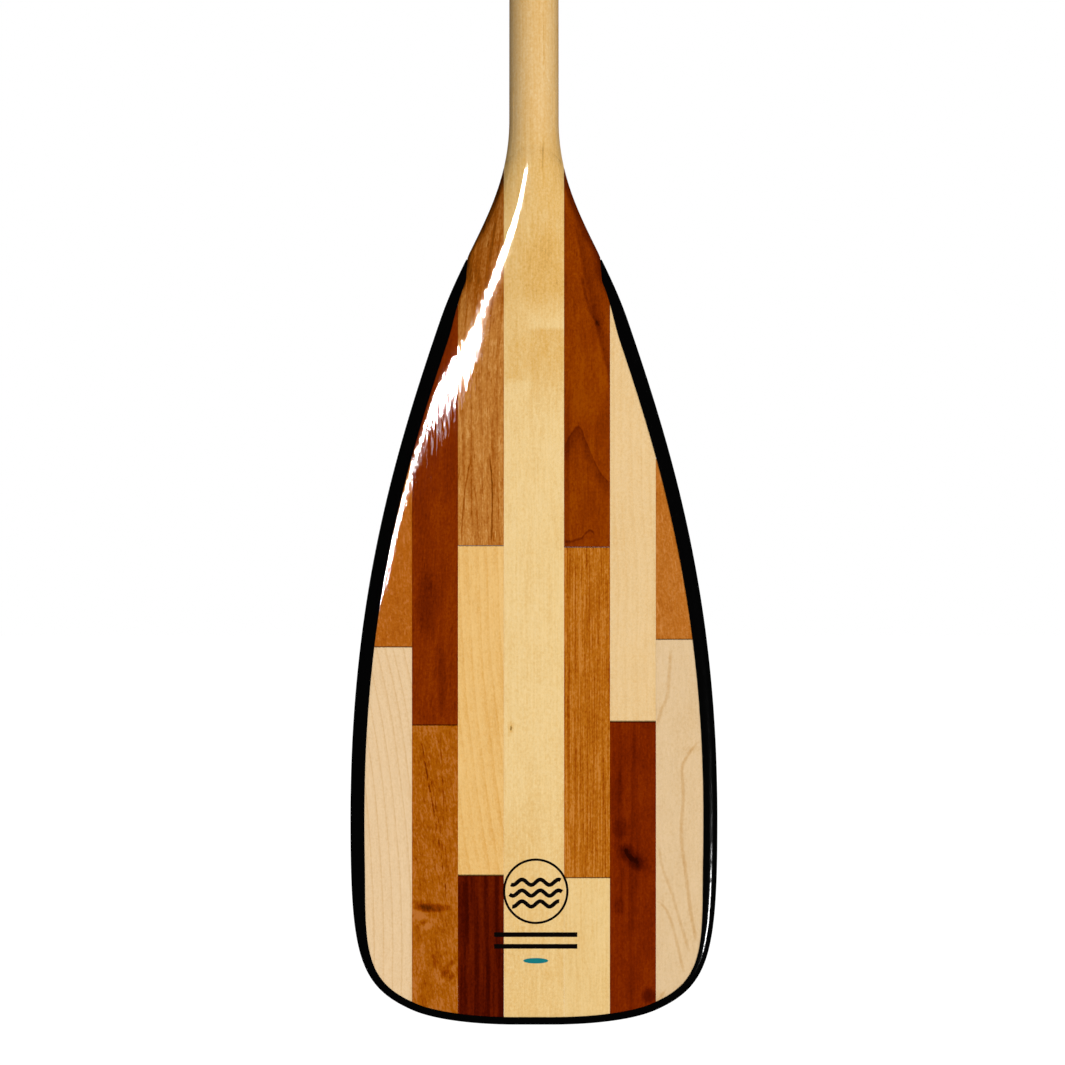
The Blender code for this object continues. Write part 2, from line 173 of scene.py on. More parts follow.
def blade_outline(steps):
    """Right-hand edge of the blade from the tip land to the throat, steps pieces to each curve."""
    land = (TIP_LAND / 2, 0)
    shoulder = (67.5, 8.1)
    widest = (HALF_BLADE, 114.4)
    waist = (52, 389.7)
    throat = (HALF_SHAFT_WIDTH, 501)
    curves = (
        bezier(land, 19 * SIDEWAYS, 15.1 * heading(23.9), shoulder, steps),
        bezier(shoulder, 32.8 * heading(23.9), 75 * UPWARD, widest, steps),
        bezier(widest, 121.4 * UPWARD, 77 * heading(108.9), waist, steps * 2),
        bezier(waist, 44 * heading(108.9), 45 * UPWARD, throat, steps),
    )
    points, ways = zip(*curves)
    return tuple(np.vstack([part[0][:1]] + [each[1:] for each in part]) for part in (points, ways))


def grip_outline(steps):
    """Right-hand edge of the grip: up the flare to the widest place, then over the crown."""
    neck = (HALF_SHAFT_WIDTH, GRIP_START)
    widest = (GRIP_HALF_WIDTH, GRIP_WIDEST)
    flare, _ = bezier(neck, 34 * UPWARD, 22 * UPWARD, widest, steps)
    crown, _ = bezier(widest, 13 * UPWARD, -30 * SIDEWAYS, (0, LENGTH), steps)
    return flare, crown


def guard_width(along):
    """Width of the edge guard, square to the edge, at a height on the edge."""
    width = GUARD_TIP + (GUARD_SIDE - GUARD_TIP) * smooth(along, *GUARD_GROWS)
    width = width * (1 - GUARD_END_LOSS * smooth(along, *GUARD_END))
    return np.clip(GUARD_END_SLOPE * (GUARD_TOP - along), 0, width)


def inset(points, ways, clearance):
    """The line where guard and wood meet, moved towards the wood by clearance."""
    inward = np.column_stack([-ways[:, 1], ways[:, 0]])
    return points + (guard_width(points[:, 1]) + clearance)[:, None] * inward


EDGE, EDGE_WAY = blade_outline(90)
FLARE, CROWN = grip_outline(60)
GUARDED = EDGE[:, 1] < GUARD_TOP
WOOD = np.vstack([inset(EDGE[GUARDED], EDGE_WAY[GUARDED], GAP / 2), EDGE[~GUARDED]])
WIDEST = int(np.argmax(WOOD[:, 0]))
WIDTH_LINE = np.vstack([WOOD, FLARE, CROWN[1:]])


def half_width(along):
    """Half-width of the wood at a height."""
    return np.interp(along, WIDTH_LINE[:, 1], WIDTH_LINE[:, 0])


def wood_bottom(x):
    """Height of the wood's lower edge, at a distance from the centreline."""
    return np.interp(np.abs(x), WOOD[:WIDEST, 0], WOOD[:WIDEST, 1])


def wood_top(x):
    """Height of the wood's upper edge, where the blade narrows towards the throat."""
    return np.interp(-np.abs(x), -WOOD[WIDEST:, 0], WOOD[WIDEST:, 1])


RIDGE, _ = bezier((FLAT_TO, HALF_BLADE_DEPTH), 70 * SIDEWAYS,
                  45 * SIDEWAYS, (RIDGE_END, HALF_SHAFT_DEPTH), 90)


def ridge_depth(along):
    """Half thickness of the wood on the centreline."""
    rising = np.interp(along, RIDGE[:, 0], RIDGE[:, 1])
    grip = (HALF_SHAFT_DEPTH - GRIP_DEPTH / 2) * smooth(along, GRIP_START, GRIP_WIDEST)
    cap = np.clip((along - GRIP_WIDEST) / (LENGTH - GRIP_WIDEST), 0, 1)
    return (rising - grip) * np.sqrt(1 - cap ** 2)


def edge_depth(along):
    """Half thickness of the wood at its outer edge."""
    return HALF_EDGE_DEPTH * (1 - smooth(along, THROAT, EDGE_GONE))


def carved_width(along):
    """Half-width the crown is carved to: it runs on smoothly past the upper ends of the guard."""
    width = half_width(along)
    outline = np.interp(along, EDGE[:, 1], EDGE[:, 0])
    inside = CARVED_INSIDE * GUARD_SIDE * (1 - smooth(along, *CARVED))
    share = smooth(along, CARVED_BLEND, CARVED[0]) * (along < CARVED[1])
    return width + (outline - inside - width) * share


def half_depth(x, along):
    """Half thickness of the wood anywhere: flat blade, oval throat, shaft and grip."""
    x = np.abs(x)
    width = half_width(along)
    corner = np.clip(1 - (width - x) / BARE_ROUNDING, 0, 1) * smooth(along, THROAT, GUARD_TOP)
    edge = edge_depth(along) * np.sqrt(1 - corner ** 2)
    flat = np.minimum(FLAT_HALF * (1 - smooth(along, FLAT_TO, THROAT)), width / 2)
    across = np.clip((x - flat) / (width - flat), 0, 1)
    inner = np.clip((x - flat) / (carved_width(along) - flat), 0, 1)
    across = across + (inner - across) * (1 - across ** 4)
    crown = (1 - across ** 2) ** (1 - 0.5 * smooth(along, *OVAL))
    rise_from_tip = smooth(along - wood_bottom(x), 0, TIP_RISE)
    sanded = smooth(along, *LIP_START) * (1 - smooth(along, *LIP_END))
    lip = LIP_DEPTH * sanded * np.clip(1 - (width - x) / LIP_WIDTH, 0, 1) ** 2
    depth = edge + (ridge_depth(along) - edge) * crown * rise_from_tip - lip
    return np.maximum(depth, THINNEST)


def place(x, depth, along):
    """Coordinates in metres, in the frame, of points given in straightened space."""
    turned = np.clip(along - BEND_START, 0, BEND_END - BEND_START) / BEND_RADIUS
    past = np.maximum(along - BEND_END, 0)
    before = np.minimum(along, BEND_START)
    y = BEND_RADIUS * (1 - np.cos(turned)) + past * np.sin(turned) + depth * np.cos(turned)
    z = before + BEND_RADIUS * np.sin(turned) + past * np.cos(turned) - depth * np.sin(turned)
    return np.stack(np.broadcast_arrays(x, y, z), axis=-1) * METRE


# === mesh helpers ===
def make_piece(name, grain, faces, material, slot, node=None, sharp_degrees=40):
    """A finished piece riding the paddle; grain holds its points in straightened space."""
    mesh = bpy.data.meshes.new(name)
    mesh.from_pydata(place(*grain.T).tolist(), [], faces)
    shape = bmesh.new()
    shape.from_mesh(mesh)
    bmesh.ops.recalc_face_normals(shape, faces=shape.faces)
    shape.to_mesh(mesh)
    shape.free()
    layer = mesh.attributes.new("grain", "FLOAT_VECTOR", "POINT")
    layer.data.foreach_set("vector", grain.astype(np.float32).ravel())
    mesh.shade_smooth()
    mesh.set_sharp_from_angle(angle=math.radians(sharp_degrees))
    mesh.materials.append(material)
    piece = bpy.data.objects.new(name, mesh)
    bpy.context.scene.collection.objects.link(piece)
    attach(piece, BODY)
    if node:
        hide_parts(node)
    return piece


def squares(corner):
    """The faces of a grid of points; corner holds the points' numbers."""
    around = corner[:-1, :-1], corner[:-1, 1:], corner[1:, 1:], corner[1:, :-1]
    return np.stack(around, axis=-1).reshape(-1, 4)


def slab(node, x, along, low, high, material, slot, **settings):
    """A closed piece between two surfaces over the same grid of (x, along)."""
    grain = np.vstack([np.stack(np.broadcast_arrays(x, depth, along), -1).reshape(-1, 3)
                       for depth in (low, high)])
    corner = np.arange(x.size).reshape(x.shape)
    quads = squares(corner)
    border = np.concatenate([corner[0], corner[1:, -1], corner[-1, -2::-1], corner[-2:0:-1, 0]])
    ahead = np.roll(border, -1)
    walls = np.column_stack([ahead, border, border + x.size, ahead + x.size])
    faces = np.vstack([quads, quads[:, ::-1] + x.size, walls]).tolist()
    return make_piece(node + "_look", grain, faces, material, slot, node, **settings)


def wood_slab(node, x, along, material, slot):
    """A piece whose two faces are the two faces of the wood."""
    depth = half_depth(x, along)
    return slab(node, x, along, -depth, depth, material, slot)


# === material helpers ===
def from_screen(red, green, blue):
    """A colour as a screen shows it, 0 to 255, turned into the linear light that shaders use."""
    def linear(value):
        value = value / 255
        return value / 12.92 if value <= 0.04045 else ((value + 0.055) / 1.055) ** 2.4
    return (linear(red), linear(green), linear(blue), 1)


def grey(value):
    return (value, value, value, 1)


class Value:
    """A number that a node gives. Sums and products of values add the nodes that work them out."""

    def __init__(self, graph, socket):
        self.graph = graph
        self.socket = socket

    def __add__(self, other):
        return self.graph.math("ADD", self, other)

    def __sub__(self, other):
        return self.graph.math("SUBTRACT", self, other)

    def __rsub__(self, other):
        return self.graph.math("SUBTRACT", other, self)

    def __mul__(self, other):
        return self.graph.math("MULTIPLY", self, other)

    def __truediv__(self, number):
        return self * (1 / number)

    def __abs__(self):
        return self.graph.math("ABSOLUTE", self)

    __radd__ = __add__
    __rmul__ = __mul__


class Graph:
    """The nodes of a material, or of the world."""

    def __init__(self, name, owners=bpy.data.materials):
        self.owner = owners.new(name)
        self.owner.use_nodes = True
        self.tree = self.owner.node_tree
        self.tree.nodes.clear()

    def put(self, socket, value):
        """Give a node's input a value, or link it to one that another node gives."""
        value = getattr(value, "socket", value)
        if isinstance(value, bpy.types.NodeSocket):
            self.tree.links.new(value, socket)
        else:
            socket.default_value = value

    def node(self, kind, **inputs):
        """A new shader node with these inputs; an underscore in an input's name stands for a space."""
        made = self.tree.nodes.new("ShaderNode" + kind)
        for name, value in inputs.items():
            self.put(made.inputs[name.replace("_", " ")], value)
        return made

    def given(self, kind, output=0, **inputs):
        """What a new node with these inputs gives."""
        return Value(self, self.node(kind, **inputs).outputs[output])

    def fill(self, made, sockets, values, result=0):
        """Set some of a node's inputs in order, and return what it gives."""
        for socket, value in zip(sockets, values):
            self.put(socket, value)
        return Value(self, made.outputs[result])

    def math(self, operation, *values, clamp=False):
        made = self.node("Math")
        made.operation = operation
        made.use_clamp = clamp
        return self.fill(made, made.inputs, values)

    def length(self, a, b):
        return self.math("SQRT", a * a + b * b)

    def step(self, value, start, end):
        """A soft step from 0 at start to 1 at end; end may be the lower of the two."""
        made = self.node("MapRange")
        made.interpolation_type = "SMOOTHSTEP"
        settings = (value, start, end, 0, 1)
        if start > end:
            settings = (value, end, start, 1, 0)
        return self.fill(made, made.inputs, settings)

    def between(self, value, low, high, outside, inside):
        """1 between low and high, fading from that far inside them to that far outside them."""
        above = self.step(value, low - outside, low + inside)
        return above * self.step(value, high + outside, high - inside)

    def noise(self, x, y, z, detail=2, roughness=0.5):
        spot = self.given("CombineXYZ", X=x, Y=y, Z=z)
        return self.given("TexNoise", "Fac", Vector=spot, Scale=1, Detail=detail,
                          Roughness=roughness)

    def swing(self, *spot, **settings):
        """Noise that goes both ways from 0, by up to about 1."""
        return (self.noise(*spot, **settings) - 0.5) * 2

    def mix(self, amount, a, b, blend="MIX"):
        made = self.node("Mix")
        made.data_type = "RGBA"
        made.blend_type = blend
        return self.fill(made, (made.inputs[0], made.inputs[6], made.inputs[7]), (amount, a, b), 2)

    def curve(self, value, points):
        """A smooth curve through (value, result) points, in mm."""
        start, end = points[0][0], points[-1][0]
        low = min(result for _, result in points) - 1
        size = max(result for _, result in points) + 1 - low
        scaled = [((at - start) / (end - start), (result - low) / size) for at, result in points]
        made = self.node("FloatCurve", Value=(value - start) / (end - start))
        line = made.mapping.curves[0]
        line.points[0].location = scaled[0]
        line.points[1].location = scaled[-1]
        for point in scaled[1:-1]:
            line.points.new(*point)
        made.mapping.update()
        return Value(self, made.outputs[0]) * size + low

    def bump(self, height, distance):
        return self.given("Bump", Height=height, Distance=distance)

    def from_outline(self, x, along, low, high):
        """How far inside the wood's outline a point is, in mm, between two heights."""
        outline = [(height, float(half_width(height))) for height in np.linspace(low, high, 9)]
        return self.curve(along, outline) - abs(x)

    def coordinates(self):
        """The straightened coordinates kept in the mesh, in mm: x, depth, along."""
        stored = self.node("Attribute")
        stored.attribute_name = "grain"
        parts = self.node("SeparateXYZ", Vector=stored.outputs["Vector"])
        return [Value(self, part) for part in parts.outputs[:3]]

    def finish(self, shader, kind="OutputMaterial"):
        self.node(kind, Surface=shader.outputs[0])
        return self.owner

    def surface(self, **inputs):
        """Finish a material that is one plain surface."""
        return self.finish(self.node("BsdfPrincipled", **inputs))


# === wood ===
PORES = 0.3  # strength of the finest mottling, on every board
PALEST, DARKEST = 0.35, 0.65  # how far from the tone, on either side, a board's colour goes
THIN_GLUE = 0.5  # half the width of the line at a glued end; two are thicker
THICK_GLUE = {JOINTS["left", "inner"][0]: 0.75, JOINTS["right", "middle"][0]: 0.85}

# pale and dark multiply the tone's red, green and blue; veil is a trace of blue in pale pores.
Species = namedtuple("Species", "slot pale dark veil")
BASSWOOD = Species("basswood", (1.04, 1.08, 1.20), (0.86, 0.70, 0.42), 0)
ALDER = Species("red_alder", (1.20, 1.45, 1.60), (0.66, 0.42, 0.10), 0.022)
ROASTED = Species("roasted_basswood", (1.25, 1.60, 1.00), (0.55, 0.42, 1.00), 0)
MAPLE = Species("maple", (1.05, 1.07, 1.14), (0.84, 0.72, 0.55), 0)


class Board:
    """The colour of one board, built up from growth rings, fibres, pores and uneven tone.

    tone is the board's middle colour, and species says how its palest and darkest wood differ from
    that. Lines on the board follow `bent`, which is x made to lean (slant), to curve (bow, from the
    height bow_from) and to wander. Sizes are in mm, and each mark returns the board for the next.
    """

    def __init__(self, name, tone, species, seed, slant=0, bow=0, bow_from=0, wander=2):
        self.g = g = Graph(name)
        self.seed = seed * 37
        self.tone = from_screen(*tone)[:3]
        self.species = species
        self.x, self.depth, self.along = g.coordinates()
        drift = g.swing(self.x / 45, self.seed, self.along / 110, detail=1)
        above = self.along - bow_from
        self.bent = self.x + self.along * slant + above * above * bow + drift * wander
        self.darkness = 0
        self.fibres = self.stretched(0.9, 0.03)

    def stretched(self, across, along, detail=2.5, roughness=0.6, shift=0, swing=True):
        """Noise drawn out along the grain; across and along are cells for each mm."""
        noise = self.g.swing if swing else self.g.noise
        return noise(self.bent * across, self.depth * across + shift, self.along * along + self.seed,
                     detail=detail, roughness=roughness)

    def darken(self, amount):
        self.darkness = self.darkness + amount
        return self

    def fibre(self, strength, across=0.9, along=0.03):
        """Fine lines up the board."""
        return self.darken(self.stretched(across, along, shift=3) * strength)

    def nap(self, strength, across=0.95, along=0.42):
        """Short fibres and pores, too small to make out one by one."""
        return self.darken(self.stretched(across, along, 1.5, 0.7, 53) * strength)

    def pores(self, strength):
        """The finest mottling, the same size across the grain as along it."""
        return self.darken(self.stretched(0.85, 0.85, 1, 0.5, 71) * strength)

    def blotch(self, strength, width=18, height=60):
        """Slow changes of tone."""
        return self.darken(self.stretched(1 / width, 1 / height, 3, 0.55, 11) * strength)

    def streaks(self, strength, spacing, along=0.006, share=0.5):
        """Long dark streaks; share is how much of the width they take."""
        line = self.stretched(1 / spacing, along, 2, 0.6, 23, swing=False)
        start = 0.5 + (0.5 - share) * 0.5
        return self.darken(self.g.step(line, start - 0.06, start + 0.12) * strength)

    def flecks(self, strength, across=1, along=0.14, share=0.3):
        """Short pores; a negative strength makes them pale."""
        speck = self.stretched(across, along, 1, 0.4, 31, swing=False)
        start = 0.72 - share * 0.4
        return self.darken(self.g.step(speck, start, start + 0.07) * strength)

    def rings(self, strength, spacing, thin=3, uneven=1.2):
        """Growth rings round a pith far to the left of the board."""
        g = self.g
        radius = g.length(self.bent + 400, self.depth)
        season = g.noise(radius * (0.5 / spacing), self.seed, 0, detail=1)
        year = g.math("FRACT", radius / spacing + season * uneven)
        late = g.math("POWER", year, thin) * g.step(year, 1, 0.9)
        return self.darken(late * strength)

    def vein(self, path, half=0.35, strength=1, wobble=0.8, broken=False):
        """A thin dark line along a path of (x, height) points, from its lower end to its upper end."""
        g = self.g
        seed = min(path)[0] - 1
        line = g.curve(self.along, [(height, x) for x, height in path])
        unsteady = g.swing(self.along * 0.07, seed, 0, detail=3)
        apart = abs(self.x - line + unsteady * wobble)
        amount = g.step(apart, half * 1.7, half * 0.3) * strength
        if broken:
            dash = g.noise(self.x, seed, self.along * 0.16)
            amount = amount * g.step(dash, 0.44, 0.56)
        return self.darken(amount * g.between(self.along, path[0][1], path[-1][1], 2, 4))

    def shade(self, path, half, strength, reach=12):
        """A soft-edged dark band along a path, with one edge much sharper than the other."""
        g = self.g
        line = g.curve(self.along, [(height, x) for x, height in path])
        unsteady = g.swing(self.x * 0.1, min(path)[0] - 1, self.along * 0.05, detail=3)
        apart = self.x - line + unsteady * 1.6
        body = g.step(apart, -half, half * 0.2) * g.step(apart, half * 4, 0)
        return self.darken(body * g.between(self.along, path[0][1], path[-1][1], 4, reach) * strength)

    def ledge(self, path, strength, reach, line):
        """Dark wood below a sharp edge that runs across the board along (x, height) points."""
        g = self.g
        left, right = path[0][0], path[-1][0]
        unsteady = g.swing(self.x * 0.35, left, self.along * 0.02, detail=3)
        below = g.curve(self.x, path) - self.along + unsteady * 1.2
        body = g.step(below, -0.3, 0.5) * g.step(below, reach, 0) * strength
        rim = g.step(abs(below), 1, 0.2) * line
        return self.darken((body + rim) * g.between(self.x, left, right, 0.5, 1))

    def knot(self, x, along, radius, lean=0, strength=1.6, stretch=1.6):
        """A dark knot with a paler ring of disturbed wood."""
        g = self.g
        up = self.along - along
        uneven = g.swing(self.x * 0.5, x, self.along * 0.4, detail=3)
        far = g.length((self.x - x + up * lean) / radius, up / (radius * stretch)) + uneven * 0.8
        return self.darken(g.step(far, 1, 0.3) * strength + g.step(far, 3.6, 0.8) * (strength * 0.3))

    def curl(self, x, along, reach, strength, lean=0.3):
        """A dimple of rippled figure: one dark crescent above a pale one."""
        g = self.g
        uneven = g.swing(self.x * 0.18, x, self.along * 0.25, detail=3)
        up = self.along - along + (self.x - x) * lean + uneven * 2.4
        inside = g.step(abs(self.x - x), reach * 1.1, reach * 0.3)
        fade = g.step(abs(up), reach * 1.3, reach * 0.2)
        return self.darken(g.math("SINE", up * (3 / reach)) * inside * fade * strength)

    def patch(self, x, along, reach_x, reach_along, strength):
        """A soft darker (or, with a negative strength, paler) area."""
        across = (self.x - x) / reach_x
        up = (self.along - along) / reach_along
        far = across * across + up * up + self.stretched(0.12, 0.03, 3, 0.6, 41) * 0.5
        return self.darken(self.g.step(far, 1, 0) * strength)

    def throat(self, start=385, end=412):
        """The wood turns darker between these heights, and stays so up through the throat."""
        return self.darken(self.g.step(self.along, start, end) * 0.42)

    def soaked_edge(self, reach, strength):
        """Painted shade: the wood is darkened near the outline at the throat, where its rounded edges turn
        away from the light.
        """
        g = self.g
        inside = g.from_outline(self.x, self.along, 390, 480)
        return self.darken(g.step(inside, reach, 0.3) * g.step(self.along, THROAT, GUARD_TOP) * strength)

    def colour(self, joints=()):
        """The finished colour, with a thin dark line at each glued end."""
        g = self.g
        self.pores(PORES)
        pale = [t * p for t, p in zip(self.tone, self.species.pale)] + [1]
        pale[2] += self.species.veil
        dark = [t * d for t, d in zip(self.tone, self.species.dark)] + [1]
        burnt = [value * 0.25 for value in dark[:3]] + [1]
        paler = g.math("MULTIPLY", self.darkness, -1 / PALEST, clamp=True)
        darker = g.math("MULTIPLY", self.darkness, 1 / DARKEST, clamp=True)
        deep = g.math("MULTIPLY", self.darkness - DARKEST, 0.9, clamp=True)
        result = g.mix(paler, (*self.tone, 1), pale)
        result = g.mix(darker, result, dark)
        result = g.mix(deep, result, burnt)
        for height in joints:
            half = THICK_GLUE.get(height, THIN_GLUE)
            ragged = g.swing(self.x * 0.8, self.seed, 0, detail=3)
            apart = abs(self.along - height + ragged * 0.35)
            result = g.mix(g.step(apart, half, half * 0.3) * 0.9, result, burnt)
        return result

    def under_skin(self, joints):
        """Wood below a clear skin: its own surface isn't seen, so it has hardly any shine."""
        return self.g.surface(Base_Color=self.colour(joints), Roughness=0.6, Specular_IOR_Level=0,
                              Normal=self.g.bump(self.fibres, 0.00002))

    def varnished(self, colour=None, bare_below=None):
        """Wood under satin varnish, which starts at the height bare_below."""
        g = self.g
        amount = g.step(self.along, bare_below - 3, bare_below + 5) if bare_below else 1
        return g.surface(Base_Color=colour or self.colour(), Normal=g.bump(self.fibres, 0.00003),
                         Roughness=0.42 + self.fibres * 0.06, Specular_IOR_Level=amount * 0.35,
                         Coat_Weight=amount * 0.15, Coat_Roughness=0.35)


STAVES = []


def stave(species, tone, **grain):
    """Keeps a function that draws the figure of the stave it is named after: side, column and part."""
    def keep(draw_figure):
        STAVES.append((draw_figure, species, tone, grain))
        return draw_figure
    return keep


# --- left-hand staves ---
@stave(ALDER, (176, 96, 19), slant=0.06)
def left_outer_upper(wood):
    wood.fibre(0.25, 0.9, 0.08).nap(0.45).blotch(0.3, 7, 14).flecks(-0.3, 0.7, 0.2, 0.15)


@stave(MAPLE, (228, 197, 154), bow=0.0007, bow_from=40, wander=1.5)
def left_outer_lower(wood):
    wood.rings(0.75, 5, thin=7, uneven=0.9).fibre(0.14).nap(0.2).blotch(0.14)


@stave(ROASTED, (125, 42, 0), slant=-0.06)
def left_middle_upper(wood):
    wood.fibre(0.3).nap(0.45).blotch(0.45, 9, 34).flecks(0.3, share=0.2)
    wood.patch(-59, 232, 7, 26, 0.35).patch(-51, 190, 3, 24, 0.35)


@stave(ALDER, (167, 90, 5), slant=0.16)
def left_middle_lower(wood):
    wood.fibre(0.4, 0.8, 0.06).nap(0.7).blotch(0.6, 8, 12).flecks(0.3, share=0.15)
    wood.flecks(-0.3, 0.7, 0.15, 0.2)
    wood.vein([(-47.9, 68.7), (-49.9, 82.5), (-53.7, 107.4), (-58.2, 133.7), (-62.4, 156.6)],
              half=0.45, strength=0.95, broken=True)
    wood.vein([(-50, 96), (-54.5, 122), (-58.2, 147)], strength=0.7, broken=True)
    wood.vein([(-46.5, 74), (-49, 100), (-51.3, 161)], strength=0.5, broken=True)
    wood.curl(-61, 62.5, 7, 0.75).curl(-59.5, 56, 4.5, 0.7, -0.3).curl(-47.5, 30, 6, 0.7, -0.8)
    wood.patch(-48, 27.5, 4.5, 4, 1).patch(-56, 64.8, 11, 3, 0.8)
    wood.patch(-54, 36, 5, 7, 0.4).patch(-60, 16, 6, 11, 0.4)


@stave(ALDER, (188, 123, 53), slant=-0.02, bow=-0.0004, bow_from=330, wander=5)
def left_inner_upper(wood):
    wood.fibre(0.3, 0.9, 0.04).nap(0.5).blotch(0.35, 9, 24).streaks(0.35, 3, 0.02, 0.35)
    wood.rings(0.45, 4.6, thin=4, uneven=1.4).flecks(0.35, share=0.2).flecks(-0.3, 0.8, 0.12, 0.2)
    wood.vein([(-23.5, 267), (-23, 288), (-24.5, 316)], half=0.4, strength=1.1)
    wood.vein([(-40, 267), (-38.5, 292), (-35, 312)], half=0.4, strength=0.6)
    wood.vein([(-31, 267), (-31.5, 286), (-33.5, 300)], half=0.4, strength=0.5)
    # painted shade along the rounded edge of the throat
    wood.throat().soaked_edge(4, 1.1)


@stave(BASSWOOD, (229, 186, 116), slant=0.03, bow=-0.0004, bow_from=250, wander=2.5)
def left_inner_middle(wood):
    wood.rings(0.35, 5.2, thin=2, uneven=0.8).fibre(0.25).nap(0.32).blotch(0.3, 10, 30)


@stave(ROASTED, (92, 21, 0), wander=1)
def left_inner_lower(wood):
    wood.fibre(0.4).nap(0.6).blotch(0.6, 6, 30).streaks(0.7, 5, 0.004, 0.5)


# --- right-hand staves ---
@stave(ROASTED, (132, 51, 0), slant=0.02)
def right_inner_upper(wood):
    wood.fibre(0.25).nap(0.35).blotch(0.5, 9, 30).flecks(0.2, share=0.2)
    wood.ledge([(17, 320), (21, 327.5), (24.5, 331), (29, 322), (33, 313), (37, 305), (42, 300)],
               0.5, 16, 0.35)
    wood.ledge([(17, 267.5), (22, 268), (26, 269), (29, 272.5), (31.5, 273.5), (33.5, 270)],
               0.2, 5, 0.6)
    wood.shade([(43, 352), (38.5, 372), (32.5, 396), (27, 424), (22, 446)], 1.6, 0.5)
    wood.vein([(36.5, 386), (31, 396), (26.5, 414)], half=0.8, strength=0.5)
    wood.patch(35, 388, 2, 2.5, 0.6).patch(18.5, 300, 2, 60, 0.35)
    # the last mark is painted shade along the rounded edge of the throat
    wood.patch(30, 355, 16, 26, -0.2).soaked_edge(5.5, 0.95)


@stave(ALDER, (179, 104, 18), wander=0.3)
def right_inner_middle(wood):
    wood.darken(0.12).fibre(1, 1.3, 0.012).nap(0.7, 1, 0.4).streaks(0.3, 2, 0.008, 0.4)
    wood.flecks(-0.3, 1.1, 0.06, 0.35).blotch(0.3, 8, 16).blotch(0.25, 14, 80)


@stave(BASSWOOD, (227, 193, 131), wander=1)
def right_inner_lower(wood):
    wood.fibre(0.4, 0.9, 0.014).nap(0.3).blotch(0.25, 10, 40).streaks(0.2, 7, 0.004, 0.3)


@stave(BASSWOOD, (226, 193, 141), slant=0.02, wander=4)
def right_middle_upper(wood):
    wood.rings(0.16, 5, thin=2, uneven=1.4).fibre(0.12).nap(0.16).blotch(0.15, 9, 22)


@stave(ROASTED, (117, 34, 0), wander=1)
def right_middle_lower(wood):
    wood.fibre(0.35, 0.9, 0.02).nap(0.45).blotch(0.5, 9, 20).streaks(0.3, 5, 0.006, 0.3)
    wood.knot(54.3, 92.2, 2.6, lean=0.8, strength=2.4, stretch=1.2).knot(51, 96.3, 1.2, strength=2)
    wood.patch(48, 109, 6, 8, 0.5).patch(57, 89, 4.5, 5, 0.5)
    wood.patch(47.5, 66, 4, 6, 0.4).patch(46, 132, 6, 10, 0.3)
    wood.patch(64, 16, 5, 5, 0.8)


@stave(ALDER, (180, 106, 33), slant=0.08)
def right_outer_upper(wood):
    wood.fibre(0.2, 0.9, 0.08).nap(0.4).blotch(0.3, 8, 16).flecks(-0.25, 0.8, 0.12, 0.2)


@stave(MAPLE, (217, 187, 144), wander=4)
def right_outer_lower(wood):
    wood.fibre(0.12).nap(0.25).blotch(0.25, 9, 26)
    wood.vein([(68.5, 166), (70.5, 173.9), (74.2, 183.6), (75, 196), (76, 208)], 0.9, 0.45)
    wood.vein([(89.8, 46.5), (86.4, 65.9), (82.9, 90.8), (81.5, 103), (82.4, 132), (82.2, 142),
               (84, 147), (91.5, 157)], 0.9, 0.5)
    wood.vein([(85.7, 41), (80.2, 59), (74.6, 78.3), (71.2, 86.7), (69.1, 99.1)], 0.8, 0.4)
    wood.vein([(82.9, 28.5), (79.5, 43.7), (75.3, 59), (72.6, 64.5), (68, 68.5)], 0.8, 0.45)
    wood.vein([(69, 13.5), (70.5, 16), (73.5, 20)], 0.9, 0.4)
    wood.patch(88, 152, 7, 3, 0.2).patch(70, 15, 5, 5, 0.3)


# --- the shaft's boards ---
FRONT_TONE = (231, 199, 139)  # of all the shaft's boards, where they lie in the blade
OWN_TONE = 470, 505  # heights between which each one comes into its own tone


def blade_column(wood):
    """The uneven tone of the shaft's boards where they lie in the blade, and the change above it."""
    g = wood.g
    ragged = wood.along + wood.fibres * 1.2
    right = g.step(wood.x + wood.fibres * 3, -6, 2)
    band = g.step(ragged, 386.5, 383) * g.step(wood.along, 316, 383)
    wood.darken(band * right * 0.5)
    band = g.step(wood.along, 400, 374) * g.step(ragged, 354, 359)
    wood.darken(band * (1 - right) * 0.3)
    wood.throat(start=380, end=410).patch(5, 415, 14, 30, 0.2)
    return wood.darken(g.step(wood.along, 150, 90) * 0.22)


def shaft_board(name, tone, seed):
    """A board of the shaft: one wood all over the blade, its own tone above the throat."""
    wood = Board(name, FRONT_TONE, BASSWOOD, seed, wander=1.3)
    wood.fibre(0.32, 0.9, 0.012).nap(0.3).streaks(0.08, 5.5, 0.004, 0.3).blotch(0.2, 14, 60)
    blade_column(wood.blotch(0.16, 8, 15))
    if name == "basswood_front":
        wood.vein([(4.5, 470), (5.2, 488)], half=0.5, strength=0.35, wobble=0.4)
        wood.vein([(5.5, 520), (5, 560)], half=0.5, strength=0.3, wobble=0.4, broken=True)
        wood.knot(-12.7, 164, 0.7, strength=1.1, stretch=3)
        wood.knot(17.2, 126, 0.6, strength=1.1, stretch=3)
    change = [own / front for own, front in zip(from_screen(*tone), from_screen(*FRONT_TONE))]
    above = wood.g.step(wood.along, *OWN_TONE)
    return wood.varnished(wood.g.mix(above, wood.colour(), change, blend="MULTIPLY"), SKIN_TOP)


